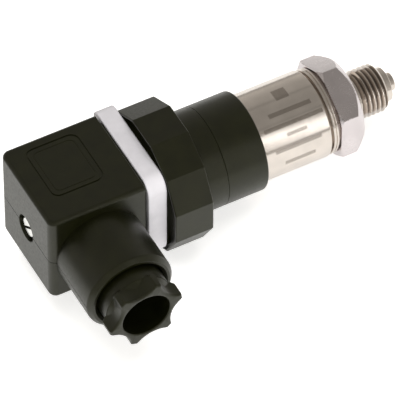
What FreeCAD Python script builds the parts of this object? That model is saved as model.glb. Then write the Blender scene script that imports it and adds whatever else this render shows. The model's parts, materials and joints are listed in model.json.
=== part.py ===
import FreeCAD, Part
import math
import os
import Sketcher

# Pressure transmitter with a right-angle electrical plug.
# Millimetres. The origin is the centre of the sealing face that the process thread stands on.
# +X runs along the instrument's axis towards the process thread, +Z is up, and the plug's
# cable entry points along -Y. Distances towards the plug are therefore negative X.

SIZES = {
    # process connection: G 1/4 B stud with pilot and spigot, hexagon, and neck
    "spigot_radius": 2.5,
    "spigot_length": 2.0,
    "pilot_radius": 4.75,
    "pilot_length": 2.0,
    "thread_radius": 6.5785,
    "thread_length": 9.0,
    "thread_chamfer": 0.7,
    "undercut_depth": 1.0,
    "undercut_length": 1.6,
    "collar_radius": 8.9,
    "collar_length": 1.3,
    "hexagon_flats": 24.0,
    "hexagon_length": 7.1,
    "hexagon_chamfer_inset": 0.4,
    "hexagon_chamfer_depth": 2.2,
    "bead_radius": 11.75,
    "bead_length": 1.0,
    "bead_groove_depth": 0.7,
    "waist_length": 2.75,
    "port_radius": 1.25,
    # measuring cell behind the port
    "lip_length": 9.0,
    "lip_wall": 1.95,
    "chamber_front_wall": 0.9,
    "cell_thickness": 4.0,
    "cell_clearance": 0.15,
    "cell_seal_radius": 6.0,
    "cell_seal_cord": 0.9,
    "cell_seal_groove": 0.4,
    "clamp_ring_length": 2.4,
    "clamp_ring_hole": 6.0,
    # steel case and its plastic end ring
    "case_radius": 12.0,
    "case_wall": 0.8,
    "case_length": 19.35,
    "case_overlap": 7.4,
    "weld_gap": 0.03,
    "end_ring_radius": 13.65,
    "end_ring_length": 11.65,
    "end_ring_bevel": 0.7,
    "joint_bevel": 0.25,
    "ring_fit": 0.05,
    "ring_seal_cord": 0.45,
    "ring_seal_setback": 3.0,
    # plug base: neck, twelve-sided flange and contact platform
    "neck_length": 7.2,
    "neck_foot_radius": 14.1,
    "neck_foot_length": 1.3,
    "flange_flats": 37.2,
    "flange_length": 10.9,
    "base_spigot_length": 3.8,
    "base_spigot_radius": 12.7,
    "base_wall": 2.4,
    "base_floor": 2.75,
    "board_ledge_width": 1.2,
    "board_ledge_height": 1.0,
    "platform_width": 20.4,
    "platform_height": 4.2,
    "platform_corner": 2.5,
    # contact blades and the threaded bush between them
    "pin_offset": 9.0,
    "pin_width": 6.3,
    "pin_thickness": 0.8,
    "pin_reach": 10.5,
    "pin_tail": 1.0,
    "pin_point": 1.2,
    "bush_radius": 2.6,
    "bush_recess": 0.3,
    "bush_groove": 0.5,
    # electronics
    "board_thickness": 1.6,
    "board_clearance": 0.1,
    "main_board_length": 29.0,
    "chip_length": 5.0,
    "chip_width": 6.2,
    "chip_height": 1.7,
    "lead_radius": 0.3,
    "lead_pitch": 2.54,
    "lead_overlap": 2.0,
    # profile gasket
    "gasket_thickness": 5.75,
    "gasket_far_lip": 2.3,
    "gasket_top_drop": 1.3,
    "gasket_near_corner": 4.5,
    "gasket_far_corner": 2.0,
    "gasket_edge": 0.7,
    "gasket_clearance": 0.3,
    # plug housing
    "housing_width": 28.0,
    "housing_height": 29.2,
    "housing_rise": 0.7,
    "housing_length": 27.5,
    "housing_wall": 2.0,
    "housing_back_wall": 4.5,
    "housing_back_round": 2.2,
    "housing_top_round": 1.2,
    "housing_bottom_round": 1.6,
    "housing_rim_round": 0.8,
    "boss_setback": 13.85,
    "boss_radius": 12.1,
    "boss_length": 33.2,
    "boss_chamfer_width": 1.5,
    "boss_chamfer_length": 2.8,
    "mouth_radius": 10.0,
    "mouth_depth": 2.6,
    "screw_recess_radius": 3.8,
    "screw_recess_depth": 3.2,
    "frame_width": 15.0,
    "frame_length": 17.5,
    "frame_corner": 2.5,
    "frame_line": 0.6,
    "frame_depth": 0.25,
    "frame_offset": 2.3,
    "frame_setback": 1.2,
    # contact insert, sockets and terminal screws
    "insert_clearance": 0.15,
    "insert_recess": 0.5,
    "insert_length": 14.0,
    "insert_corner": 3.0,
    "socket_width": 7.4,
    "socket_thickness": 2.6,
    "socket_setback": 0.3,
    "blade_clearance": 0.1,
    "blade_end_gap": 0.5,
    "terminal_screw_radius": 1.0,
    "terminal_head_radius": 1.6,
    "terminal_head_height": 1.2,
    "terminal_slot_width": 0.5,
    # centre screw
    "screw_radius": 1.5,
    "screw_clearance": 0.1,
    "screw_head_radius": 3.1,
    "screw_head_height": 2.1,
    "screw_head_round": 0.4,
    "screw_slot_width": 0.8,
    "screw_slot_depth": 1.0,
    "screw_tip_gap": 0.9,
    "screw_point": 0.4,
    "washer_thickness": 0.5,
    "seat_gap": 0.05,
    # cable gland
    "nut_tip_radius": 10.35,
    "nut_flute_radius": 8.0,
    "nut_waist_radius": 7.95,
    "nut_core_relief": 0.3,
    "nut_head_length": 4.8,
    "nut_head_chamfer": 0.6,
    "nut_bore_radius": 6.65,
    "nut_thread_radius": 9.3,
    "nut_thread_length": 9.75,
    "nut_gap": 1.75,
    "nut_clearance": 0.08,
    "grommet_radius": 8.8,
    "grommet_bore": 4.2,
    "grommet_length": 8.0,
    "grommet_cone": 1.2,
    "grommet_clearance": 0.05,
    "thrust_washer_thickness": 1.0,
    "thrust_washer_bore": 5.4,
    "cable_way_radius": 6.2,
    # how far a cut reaches beyond the material it opens
    "overcut": 1.0,
}

# Angles in degrees.
NUT_TURN = 10.0         # the gland nut's tips from the instrument's axis
SCREW_SLOT_TURN = 40.0  # the centre screw's slot from the horizontal
HEXAGON_TURN = 90.0     # first corner of the hexagon, straight up
FLANGE_TURN = 15.0      # first corner of the flange, which then stands on a flat

BLADES = {0: "pin_1", 90: "pin_3", 180: "pin_2", 270: "earth_pin"}
FLUTES = 6              # hollow flutes round the gland nut's head
NEAR = 0.01             # edges are picked out to within this distance

doc = FreeCAD.newDocument("pressure_transmitter")
sheet = doc.addObject("Spreadsheet::Sheet", "dim")
for row, (alias, size) in enumerate(SIZES.items(), start=1):
    sheet.set(f"A{row}", alias)
    sheet.set(f"B{row}", str(size))
    sheet.setAlias(f"B{row}", alias)
doc.recompute()

# Stations along X, each worked out from the one before it.
HEX_FRONT = "-dim.collar_length"
HEX_BACK = f"{HEX_FRONT} - dim.hexagon_length"
CASE_FRONT = f"{HEX_BACK} - dim.waist_length"
RING_FRONT = f"{CASE_FRONT} - dim.case_length"
RING_BACK = f"{RING_FRONT} - dim.end_ring_length"
FLANGE_FRONT = f"{RING_BACK} - dim.neck_length"
FLANGE_BACK = f"{FLANGE_FRONT} - dim.flange_length"
HOUSING_FRONT = f"{FLANGE_BACK} - dim.gasket_thickness"
BOSS_AXIS = f"{HOUSING_FRONT} - dim.boss_setback"
HOUSING_BACK = f"{HOUSING_FRONT} - dim.housing_length"

STUD_END = "dim.thread_length"
PILOT_END = f"{STUD_END} + dim.pilot_length"
SPIGOT_END = f"{PILOT_END} + dim.spigot_length"
LIP_BACK = f"{CASE_FRONT} - dim.lip_length"
LIP_RADIUS = "dim.case_radius - dim.case_wall - dim.weld_gap"
CHAMBER_RADIUS = f"{LIP_RADIUS} - dim.lip_wall"
CHAMBER_FRONT = f"{CASE_FRONT} - dim.chamber_front_wall"
CELL_FRONT = f"{CHAMBER_FRONT} + dim.cell_seal_groove - 2 * dim.cell_seal_cord"
CELL_BACK = f"{CELL_FRONT} - dim.cell_thickness"
CELL_RADIUS = f"{CHAMBER_RADIUS} - dim.cell_clearance"
CLAMP_BACK = f"{CELL_BACK} - dim.clamp_ring_length"
CASE_BACK = f"{RING_FRONT} - dim.case_overlap"
SPIGOT_TIP = f"{RING_BACK} + dim.base_spigot_length"
CAVITY_RADIUS = "dim.end_ring_radius - dim.base_wall"
CAVITY_END = f"{FLANGE_BACK} + dim.base_floor"
BOARD_BACK = f"{CAVITY_END} + dim.board_ledge_height"
BOARD_FRONT = f"{BOARD_BACK} + dim.board_thickness"
MAIN_BOARD_FRONT = f"{BOARD_FRONT} + dim.main_board_length"
PLATFORM_TOP = f"{FLANGE_BACK} - dim.platform_height"
PIN_TIP = f"{PLATFORM_TOP} - dim.pin_reach"
PIN_END = f"{BOARD_FRONT} + dim.pin_tail"
INSERT_FRONT = f"{HOUSING_FRONT} - dim.insert_recess"
INSERT_BACK = f"{INSERT_FRONT} - dim.insert_length"
SOCKET_FRONT = f"{INSERT_FRONT} - dim.socket_setback"
SCREW_SEAT = f"{HOUSING_BACK} + dim.screw_recess_depth"
HEAD_FRONT = f"{SCREW_SEAT} - dim.washer_thickness - dim.seat_gap"
HEAD_BACK = f"{HEAD_FRONT} - dim.screw_head_height"
SCREW_TIP = f"{CAVITY_END} - dim.screw_tip_gap"
SCREW_HOLE = "dim.screw_radius + dim.screw_clearance"
TERMINAL_DEPTH = f"(({PIN_TIP}) - ({INSERT_BACK})) / 2"

# Heights and half-widths of the housing, which stands a little high about its boss.
HOUSING_TOP = "dim.housing_rise + dim.housing_height / 2"
HOUSING_BOTTOM = "dim.housing_rise - dim.housing_height / 2"
INNER_HALF_HEIGHT = f"-({HOUSING_BOTTOM}) - dim.housing_wall"
INNER_HALF_WIDTH = "dim.housing_width / 2 - dim.housing_wall"

# Stations along the cable entry, measured outwards from the instrument's axis.
NUT_FACE = "dim.boss_length + dim.nut_gap"
NUT_THREAD_END = f"{NUT_FACE} - dim.nut_thread_length"
WASHER_OUTER = f"{NUT_THREAD_END} - dim.seat_gap"
WASHER_INNER = f"{WASHER_OUTER} - dim.thrust_washer_thickness"
GROMMET_INNER = f"{WASHER_INNER} - dim.grommet_length"
GROMMET_SEAT_RADIUS = "dim.grommet_radius + dim.grommet_clearance"


def size(expression):
    """The present value of an expression in the sheet's sizes."""
    return float(sheet.evalExpression(expression))


def new_body(label):
    body = doc.addObject("PartDesign::Body", label)
    body.Label = label
    return body


def new_sketch(body, role, offset=None):
    """An empty sketch on one of the body's origin planes, or parallel to it at an offset."""
    sketch = body.newObject("Sketcher::SketchObject", f"{body.Name}_sketch")
    plane = [item for item in body.Origin.OriginFeatures if item.Role == role][0]
    sketch.AttachmentSupport = [(plane, "")]
    sketch.MapMode = "FlatFace"
    if offset:
        sketch.setExpression("AttachmentOffset.Base.z", offset)
    return sketch


def bind(sketch, constraint, expression):
    """Adds a dimension and ties it to an expression, unless it is a plain zero."""
    index = sketch.addConstraint(constraint)
    if expression != "0":
        sketch.setExpression(f"Constraints[{index}]", expression)


def draw_outline(sketch, corners):
    """A closed outline of straight lines, each corner dimensioned from the sketch's origin."""
    places = [(size(across), size(up)) for across, up in corners]
    first = sketch.GeometryCount
    for index, (across, up) in enumerate(places):
        end_across, end_up = places[(index + 1) % len(places)]
        start = FreeCAD.Vector(across, up, 0)
        end = FreeCAD.Vector(end_across, end_up, 0)
        sketch.addGeometry(Part.LineSegment(start, end), False)
    for index in range(len(places)):
        following = (index + 1) % len(places)
        sketch.addConstraint(
            Sketcher.Constraint("Coincident", first + index, 2, first + following, 1))
    for index, (across, up) in enumerate(corners):
        line = first + index
        bind(sketch, Sketcher.Constraint("DistanceX", -1, 1, line, 1, places[index][0]), across)
        bind(sketch, Sketcher.Constraint("DistanceY", -1, 1, line, 1, places[index][1]), up)


def draw_rectangle(sketch, width, height):
    """A rectangle centred on the sketch's origin."""
    half_width, half_height = f"({width}) / 2", f"({height}) / 2"
    draw_outline(sketch, [
        (f"-{half_width}", f"-{half_height}"), (half_width, f"-{half_height}"),
        (half_width, half_height), (f"-{half_width}", half_height)])


def draw_circle(sketch, radius, across="0"):
    centre = FreeCAD.Vector(size(across), 0, 0)
    axis = FreeCAD.Vector(0, 0, 1)
    circle = sketch.addGeometry(Part.Circle(centre, axis, size(radius)), False)
    bind(sketch, Sketcher.Constraint("Radius", circle, size(radius)), radius)
    bind(sketch, Sketcher.Constraint("DistanceX", -1, 1, circle, 3, size(across)), across)
    sketch.addConstraint(Sketcher.Constraint("PointOnObject", circle, 3, -1))


def draw_polygon(sketch, sides, flats, turn=0.0):
    """A regular polygon, given across its flats, with its first corner at an angle in degrees."""
    corners = []
    for index in range(sides):
        angle = math.radians(turn + 360.0 * index / sides)
        reach = f"{flats} / 2 / cos({180.0 / sides} deg)"
        corners.append((f"{reach} * {math.cos(angle):.12f}", f"{reach} * {math.sin(angle):.12f}"))
    draw_outline(sketch, corners)


def turn_feature(body, kind, corners, axis="H_Axis"):
    """A profile turned a full circle about an axis of the sketch, added or cut away."""
    sketch = new_sketch(body, "XY_Plane")
    draw_outline(sketch, corners)
    feature = body.newObject(f"PartDesign::{kind}", f"{body.Name}_{kind.lower()}")
    feature.Profile = sketch
    feature.ReferenceAxis = (sketch, [axis])
    feature.Angle = 360
    sketch.Visibility = False
    return feature


def turned_body(label, corners):
    """A body of revolution about X, from one closed half-profile."""
    body = new_body(label)
    turn_feature(body, "Revolution", corners)
    return body


def extrude(body, kind, sketch, length, reverse=False, midplane=False):
    """A pad or pocket of a sketch."""
    feature = body.newObject(f"PartDesign::{kind}", f"{body.Name}_{kind.lower()}")
    feature.Profile = sketch
    feature.setExpression("Length", length)
    feature.Midplane = midplane
    feature.Reversed = reverse
    sketch.Visibility = False
    return feature


def dress(body, kind, property_name, expression, wanted):
    """A fillet or chamfer on the edges of the body's tip that the test picks out."""
    doc.recompute()
    tip = body.Tip
    names = [f"Edge{number}" for number, edge in enumerate(tip.Shape.Edges, start=1)
             if wanted(edge)]
    feature = body.newObject(f"PartDesign::{kind}", f"{body.Name}_{kind.lower()}")
    feature.Base = (tip, names)
    feature.setExpression(property_name, expression)
    return feature


def runs_along(edge, axis):
    """True for a straight edge parallel to a world axis, 0 for X, 1 for Y and 2 for Z."""
    if edge.Curve.TypeId != "Part::GeomLine":
        return False
    step = edge.Vertexes[-1].Point - edge.Vertexes[0].Point
    return abs(step[axis]) > 0.999 * step.Length


def place(body, base, axis=(1, 0, 0), angle=0.0):
    """Puts a body at a point given as three expressions, turned about an axis."""
    body.Placement = FreeCAD.Placement(
        FreeCAD.Vector(0, 0, 0), FreeCAD.Rotation(FreeCAD.Vector(*axis), angle))
    for letter, expression in zip("xyz", base):
        if expression != "0":
            body.setExpression(f"Placement.Base.{letter}", expression)


def rectangle_between(low, high, half_height):
    """Corners of a rectangle from one station to another, even about the axis."""
    return [(low, f"-({half_height})"), (high, f"-({half_height})"),
            (high, half_height), (low, half_height)]


def make_process_connection():
    """Stud, hexagon and weld neck turned and milled from one bar, bored for the medium."""
    body = new_body("process_connection")
    root = "dim.thread_radius - dim.undercut_depth"
    groove = "dim.bead_radius - dim.bead_groove_depth"
    step = "(dim.waist_length - 2 * dim.bead_length) / 2"
    bead_front = f"{CASE_FRONT} + dim.bead_length"
    groove_front = f"{bead_front} + {step}"
    bead_two_front = f"{groove_front} + dim.bead_length"
    turn_feature(body, "Revolution", [
        (LIP_BACK, "0"), (LIP_BACK, LIP_RADIUS), (CASE_FRONT, LIP_RADIUS),
        (CASE_FRONT, "dim.bead_radius"), (bead_front, "dim.bead_radius"),
        (bead_front, groove), (groove_front, groove),
        (groove_front, "dim.bead_radius"), (bead_two_front, "dim.bead_radius"),
        (bead_two_front, groove), (HEX_FRONT, groove),
        (HEX_FRONT, "dim.collar_radius"), ("0", "dim.collar_radius"),
        ("0", root), ("dim.undercut_length", root),
        ("dim.undercut_length + dim.undercut_depth", "dim.thread_radius"),
        (f"{STUD_END} - dim.thread_chamfer", "dim.thread_radius"),
        (STUD_END, "dim.thread_radius - dim.thread_chamfer"),
        (STUD_END, "dim.pilot_radius"), (PILOT_END, "dim.pilot_radius"),
        (PILOT_END, "dim.spigot_radius"), (SPIGOT_END, "dim.spigot_radius"),
        (SPIGOT_END, "0")])
    hexagon = new_sketch(body, "YZ_Plane", HEX_BACK)
    draw_polygon(hexagon, 6, "dim.hexagon_flats", HEXAGON_TURN)
    extrude(body, "Pad", hexagon, "dim.hexagon_length")
    reach = "dim.hexagon_flats / 2 / cos(30 deg)"
    start = "dim.hexagon_flats / 2 - dim.hexagon_chamfer_inset"
    turn_feature(body, "Groove", [
        (HEX_FRONT, start), (f"{HEX_FRONT} - dim.hexagon_chamfer_depth", reach),
        (f"{HEX_FRONT} - dim.hexagon_chamfer_depth", f"{reach} + dim.overcut"),
        (f"{HEX_FRONT} + dim.overcut", f"{reach} + dim.overcut"),
        (f"{HEX_FRONT} + dim.overcut", start)])
    groove_inner = "dim.cell_seal_radius - dim.cell_seal_cord"
    groove_outer = "dim.cell_seal_radius + dim.cell_seal_cord"
    groove_floor = f"{CHAMBER_FRONT} + dim.cell_seal_groove"
    turn_feature(body, "Groove", [
        (f"{SPIGOT_END} + dim.overcut", "0"), (f"{SPIGOT_END} + dim.overcut", "dim.port_radius"),
        (CHAMBER_FRONT, "dim.port_radius"), (CHAMBER_FRONT, groove_inner),
        (groove_floor, groove_inner), (groove_floor, groove_outer),
        (CHAMBER_FRONT, groove_outer), (CHAMBER_FRONT, CHAMBER_RADIUS),
        (f"{LIP_BACK} - dim.overcut", CHAMBER_RADIUS), (f"{LIP_BACK} - dim.overcut", "0")])
    return body


def ring_corners(back, front, inner, outer):
    """Half-profile of a plain ring."""
    return [(back, inner), (front, inner), (front, outer), (back, outer)]


def make_torus(label, centre, ring_radius, cord_radius):
    """An O-ring round the X axis."""
    seal = doc.addObject("Part::Torus", label)
    seal.Label = label
    seal.setExpression("Radius1", ring_radius)
    seal.setExpression("Radius2", cord_radius)
    place(seal, (centre, "0", "0"), (0, 1, 0), 90.0)
    return seal


def make_measuring_cell():
    """The cell, its O-ring in the chamber's floor, and the ring that clamps it."""
    cell = turned_body("sensor_cell", [
        (CELL_BACK, "0"), (CELL_FRONT, "0"), (CELL_FRONT, CELL_RADIUS), (CELL_BACK, CELL_RADIUS)])
    seal = make_torus("cell_seal", f"{CELL_FRONT} + dim.cell_seal_cord",
                      "dim.cell_seal_radius", "dim.cell_seal_cord")
    clamp = turned_body("clamp_ring", ring_corners(
        CLAMP_BACK, CELL_BACK, "dim.clamp_ring_hole", f"{CHAMBER_RADIUS} - dim.weld_gap"))
    return [cell, seal, clamp]


def make_case():
    """Thin steel tube, welded to the neck at its front and held in the end ring at its back."""
    return turned_body("steel_case", ring_corners(
        CASE_BACK, CASE_FRONT, "dim.case_radius - dim.case_wall", "dim.case_radius"))


def make_end_ring():
    """Plastic ring between the case and the plug base, with a groove for its O-ring."""
    inner = "dim.case_radius + dim.ring_fit"
    spigot = "dim.base_spigot_radius + dim.ring_fit"
    groove = "dim.case_radius + 2 * dim.ring_seal_cord"
    groove_front = f"{RING_FRONT} - dim.ring_seal_setback"
    groove_back = f"{groove_front} - 2 * dim.ring_seal_cord"
    step = f"{SPIGOT_TIP} + dim.ring_fit"
    outer = "dim.end_ring_radius"
    ring = turned_body("end_ring", [
        (RING_FRONT, inner), (RING_FRONT, f"{outer} - dim.end_ring_bevel"),
        (f"{RING_FRONT} - dim.end_ring_bevel", outer),
        (f"{RING_BACK} + dim.joint_bevel", outer), (RING_BACK, f"{outer} - dim.joint_bevel"),
        (RING_BACK, spigot), (step, spigot), (step, inner),
        (groove_back, inner), (groove_back, groove),
        (groove_front, groove), (groove_front, inner)])
    seal = make_torus("ring_seal", f"{groove_front} - dim.ring_seal_cord",
                      "dim.case_radius + dim.ring_seal_cord", "dim.ring_seal_cord")
    return [ring, seal]


def make_plug_base():
    """Moulded base: spigot, neck, twelve-sided flange and the platform that carries the pins."""
    body = new_body("plug_base")
    flange = new_sketch(body, "YZ_Plane", FLANGE_BACK)
    draw_polygon(flange, 12, "dim.flange_flats", FLANGE_TURN)
    extrude(body, "Pad", flange, "dim.flange_length")
    neck = "dim.end_ring_radius"
    foot_front = f"{FLANGE_FRONT} + dim.neck_foot_length"
    turn_feature(body, "Revolution", [
        (FLANGE_BACK, "0"), (SPIGOT_TIP, "0"), (SPIGOT_TIP, "dim.base_spigot_radius"),
        (RING_BACK, "dim.base_spigot_radius"), (RING_BACK, f"{neck} - dim.joint_bevel"),
        (f"{RING_BACK} - dim.joint_bevel", neck), (foot_front, neck),
        (foot_front, "dim.neck_foot_radius"), (FLANGE_BACK, "dim.neck_foot_radius")])
    platform = new_sketch(body, "YZ_Plane", FLANGE_BACK)
    draw_rectangle(platform, "dim.platform_width", "dim.platform_width")
    extrude(body, "Pad", platform, "dim.platform_height", reverse=True)
    half = size("dim.platform_width") / 2
    flange_back = size(FLANGE_BACK)
    dress(body, "Fillet", "Radius", "dim.platform_corner", lambda edge: (
        runs_along(edge, 0) and edge.BoundBox.XMax < flange_back + NEAR
        and abs(abs(edge.BoundBox.YMax) - half) < NEAR))
    ledge = f"{CAVITY_RADIUS} - dim.board_ledge_width"
    turn_feature(body, "Groove", [
        (f"{SPIGOT_TIP} + dim.overcut", "0"), (f"{SPIGOT_TIP} + dim.overcut", CAVITY_RADIUS),
        (BOARD_BACK, CAVITY_RADIUS), (BOARD_BACK, ledge), (CAVITY_END, ledge),
        (CAVITY_END, "dim.bush_radius"), (f"{PLATFORM_TOP} - dim.overcut", "dim.bush_radius"),
        (f"{PLATFORM_TOP} - dim.overcut", "0")])
    cut_blade_slots(body, "dim.pin_width", "dim.pin_thickness", PLATFORM_TOP, CAVITY_END)
    return body


def cut_blade_slots(body, width, thickness, start, end):
    """Four slots right through, one for each blade, at a quarter turn from each other."""
    for role, across in (("Y", True), ("Z", False)):
        slots = new_sketch(body, "YZ_Plane", start)
        for side in ("", "-"):
            near = f"{side}(dim.pin_offset - ({thickness}) / 2)"
            far = f"{side}(dim.pin_offset + ({thickness}) / 2)"
            low, high = f"-({width}) / 2", f"({width}) / 2"
            corners = [(near, low), (far, low), (far, high), (near, high)]
            if not across:
                corners = [(rise, reach) for reach, rise in corners]
            draw_outline(slots, corners)
        slots.Label = f"{body.Name}_slots_{role}"
        extrude(body, "Pocket", slots, f"({end}) - ({start})", reverse=True)


def around_axis(angle, offset):
    """Base point of a piece at an offset from the axis, at a quarter-turn angle."""
    return {0: ("0", offset, "0"), 90: ("0", "0", offset),
            180: ("0", f"-({offset})", "0"), 270: ("0", "0", f"-({offset})")}[angle]


def make_pin(angle, label):
    """Flat contact blade with a pointed tip."""
    body = new_body(label)
    blade = new_sketch(body, "XZ_Plane")
    half, slim = "dim.pin_width / 2", "dim.pin_width / 2 - dim.pin_point"
    shoulder = f"{PIN_TIP} + dim.pin_point"
    draw_outline(blade, [
        (PIN_END, f"-({half})"), (PIN_END, half), (shoulder, half), (PIN_TIP, slim),
        (PIN_TIP, f"-({slim})"), (shoulder, f"-({half})")])
    extrude(body, "Pad", blade, "dim.pin_thickness", midplane=True)
    place(body, around_axis(angle, "dim.pin_offset"), (1, 0, 0), angle)
    return body


def make_screw_bush():
    """Brass bush in the middle of the platform, grooved so that the moulding holds it."""
    front = f"{PLATFORM_TOP} + dim.bush_recess"
    middle = f"(({front}) + ({CAVITY_END})) / 2"
    waist = "dim.bush_radius - dim.bush_groove"
    outer, inner = "dim.bush_radius", SCREW_HOLE
    return turned_body("screw_bush", [
        (front, inner), (CAVITY_END, inner), (CAVITY_END, outer),
        (f"{middle} + dim.bush_groove", outer), (f"{middle} + dim.bush_groove", waist),
        (f"{middle} - dim.bush_groove", waist), (f"{middle} - dim.bush_groove", outer),
        (front, outer)])


def make_terminal_board():
    """Round board soldered to the blades' tails, resting on the base's ledge."""
    body = turned_body("terminal_board", [
        (BOARD_BACK, "0"), (BOARD_FRONT, "0"),
        (BOARD_FRONT, f"{CAVITY_RADIUS} - dim.board_clearance"),
        (BOARD_BACK, f"{CAVITY_RADIUS} - dim.board_clearance")])
    cut_blade_slots(body, "dim.pin_width", "dim.pin_thickness", BOARD_BACK, BOARD_FRONT)
    return body


def make_box(label, base, spans):
    """A box given by the expressions of its low corner and of its three spans."""
    box = doc.addObject("Part::Box", label)
    box.Label = label
    for name, expression in zip(("Length", "Width", "Height"), spans):
        box.setExpression(name, expression)
    place(box, base)
    return box


def make_compound(label, members):
    """Like pieces kept as one group of separate solids."""
    group = doc.addObject("Part::Compound", label)
    group.Label = label
    group.Links = members
    return group


def make_main_board():
    """Main board standing on the terminal board, with its chips and the cell's leads."""
    half_width = "(dim.pin_offset - dim.pin_thickness / 2 - dim.board_clearance)"
    board = make_box("circuit_board",
                     (BOARD_FRONT, f"-{half_width}", "-dim.board_thickness / 2"),
                     ("dim.main_board_length", f"2 * {half_width}", "dim.board_thickness"))
    chips = []
    for number in range(3):
        along = f"{BOARD_FRONT} + dim.main_board_length * {number + 1} / 4 - dim.chip_length / 2"
        across = f"{number - 1} * dim.chip_width / 3 - dim.chip_width / 2"
        chips.append(make_box(f"chip_{number + 1}",
                              (along, across, "dim.board_thickness / 2"),
                              ("dim.chip_length", "dim.chip_width", "dim.chip_height")))
    leads = []
    lead_start = f"{MAIN_BOARD_FRONT} - dim.lead_overlap"
    for number in range(4):
        lead = doc.addObject("Part::Cylinder", f"lead_{number + 1}")
        lead.setExpression("Radius", "dim.lead_radius")
        lead.setExpression("Height", f"({CELL_BACK}) - ({lead_start})")
        place(lead, (lead_start, f"{number - 1.5} * dim.lead_pitch",
                     "dim.board_thickness / 2 + dim.lead_radius"), (0, 1, 0), 90.0)
        leads.append(lead)
    return [board, make_compound("board_chips", chips), make_compound("cell_leads", leads)]


def make_gasket():
    """Profile gasket with rounded corners, open round the contact platform.

    It lies flush with the housing below and on the cable entry's side, stops short of the
    housing's top, and stands out as a lip on the far side.
    """
    body = new_body("profile_gasket")
    near, far = "-dim.housing_width / 2", "dim.housing_width / 2 + dim.gasket_far_lip"
    low, high = HOUSING_BOTTOM, f"{HOUSING_TOP} - dim.gasket_top_drop"
    outer = new_sketch(body, "YZ_Plane", HOUSING_FRONT)
    draw_outline(outer, [(near, low), (far, low), (far, high), (near, high)])
    extrude(body, "Pad", outer, "dim.gasket_thickness")
    for side, radius in ((near, "dim.gasket_near_corner"), (far, "dim.gasket_far_corner")):
        side_y = size(side)
        dress(body, "Fillet", "Radius", radius, lambda edge: (
            runs_along(edge, 0) and abs(edge.BoundBox.YMax - side_y) < NEAR))
    dress(body, "Fillet", "Radius", "dim.gasket_edge", lambda edge: not runs_along(edge, 0))
    opening = "dim.platform_width + 2 * dim.gasket_clearance"
    hole = new_sketch(body, "YZ_Plane", HOUSING_FRONT)
    draw_rectangle(hole, opening, opening)
    extrude(body, "Pocket", hole, "dim.gasket_thickness", reverse=True)
    half = size(opening) / 2
    dress(body, "Fillet", "Radius", "dim.platform_corner", lambda edge: (
        runs_along(edge, 0) and abs(abs(edge.BoundBox.YMax) - half) < NEAR
        and abs(abs(edge.BoundBox.ZMax) - half) < NEAR))
    return body


def make_housing():
    """Moulded plug housing with its cable boss, in a frame centred on the boss's axis."""
    body = new_body("plug_housing")
    front, back = "dim.boss_setback", "dim.boss_setback - dim.housing_length"
    block = new_sketch(body, "XY_Plane", HOUSING_BOTTOM)
    draw_outline(block, rectangle_between(back, front, "dim.housing_width / 2"))
    extrude(body, "Pad", block, "dim.housing_height")
    back_x, front_x = size(back), size(front)
    top_z, bottom_z = size(HOUSING_TOP), size(HOUSING_BOTTOM)
    dress(body, "Fillet", "Radius", "dim.housing_back_round", lambda edge: (
        runs_along(edge, 2) and edge.BoundBox.XMax < back_x + NEAR))
    dress(body, "Fillet", "Radius", "dim.housing_top_round", lambda edge: (
        edge.BoundBox.ZMin > top_z - NEAR and edge.BoundBox.XMin < front_x - NEAR))
    dress(body, "Fillet", "Radius", "dim.housing_bottom_round", lambda edge: (
        edge.BoundBox.ZMax < bottom_z + NEAR and edge.BoundBox.XMin < front_x - NEAR))
    dress(body, "Fillet", "Radius", "dim.housing_rim_round", lambda edge: (
        edge.BoundBox.XMin > front_x - NEAR))

    root, end = "-dim.housing_width / 2 + dim.housing_wall", "-dim.boss_length"
    turn_feature(body, "Revolution", [
        ("0", root), ("dim.boss_radius", root),
        ("dim.boss_radius", f"{end} + dim.boss_chamfer_length"),
        ("dim.boss_radius - dim.boss_chamfer_width", end), ("0", end)], "V_Axis")

    cavity = new_sketch(body, "XY_Plane")
    draw_outline(cavity, rectangle_between(
        f"{back} + dim.housing_back_wall", f"{front} + dim.overcut", INNER_HALF_WIDTH))
    extrude(body, "Pocket", cavity, f"2 * ({INNER_HALF_HEIGHT})", midplane=True)

    bore = "dim.nut_thread_radius + dim.nut_clearance"
    seat_outer = f"-({WASHER_OUTER} + dim.seat_gap)"
    mouth = f"{end} + dim.mouth_depth"
    turn_feature(body, "Groove", [
        ("0", f"{end} - dim.overcut"), ("dim.mouth_radius", f"{end} - dim.overcut"),
        ("dim.mouth_radius", mouth),
        (bore, mouth), (bore, seat_outer), (GROMMET_SEAT_RADIUS, seat_outer),
        (GROMMET_SEAT_RADIUS, f"-({GROMMET_INNER})"),
        ("dim.cable_way_radius", f"-({GROMMET_INNER})"),
        ("dim.cable_way_radius", f"{root} + dim.overcut"),
        ("0", f"{root} + dim.overcut")], "V_Axis")

    floor = f"{back} + dim.screw_recess_depth"
    inside = f"{back} + dim.housing_back_wall + dim.overcut"
    turn_feature(body, "Groove", [
        (f"{back} - dim.overcut", "0"), (f"{back} - dim.overcut", "dim.screw_recess_radius"),
        (floor, "dim.screw_recess_radius"), (floor, SCREW_HOLE), (inside, SCREW_HOLE),
        (inside, "0")])
    cut_label_frame(body)
    place(body, (BOSS_AXIS, "0", "0"))
    return body


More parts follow.
